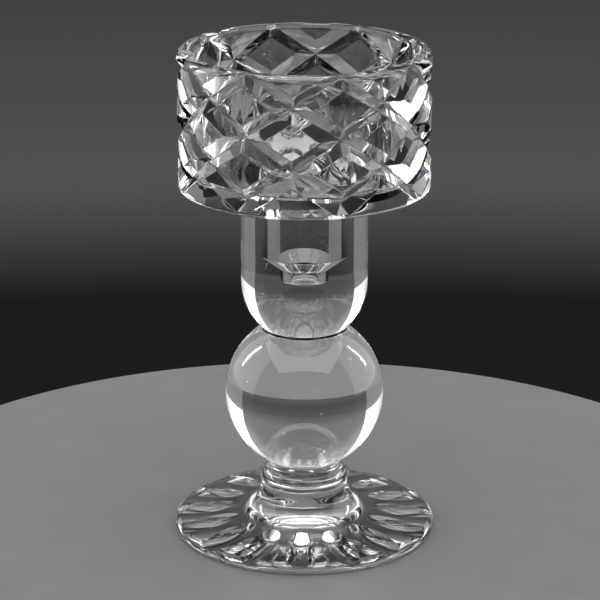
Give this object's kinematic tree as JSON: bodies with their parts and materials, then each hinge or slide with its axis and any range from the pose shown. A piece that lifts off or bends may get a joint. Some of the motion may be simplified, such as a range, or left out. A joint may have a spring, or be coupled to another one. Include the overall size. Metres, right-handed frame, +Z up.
{
  "type": "candlestick",
  "caption": "Clear cut-glass candle holder: a wide cup for a pillar candle over a solid stem drilled for a taper candle, with a ball knop, a collar and a fluted round foot.",
  "frame": {"origin": "middle of the underside of the foot, on the surface the candlestick stands on", "axes": "+Z up along the axis that all the sections share; -Y is the side that faces the viewer"},
  "size_m": [0.108, 0.108, 0.2032],
  "materials": {
    "cut_crystal": "polished",
    "clear_adhesive": "clear"
  },
  "bodies": {
    "root": {"foot": "cut_crystal", "foot_bond": "clear_adhesive", "collar": "cut_crystal", "collar_bond": "clear_adhesive", "ball_knop": "cut_crystal", "knop_bond": "clear_adhesive", "socket_stem": "cut_crystal", "cup_bond": "clear_adhesive", "cut_cup": "cut_crystal"}
  },
  "joints": []
}
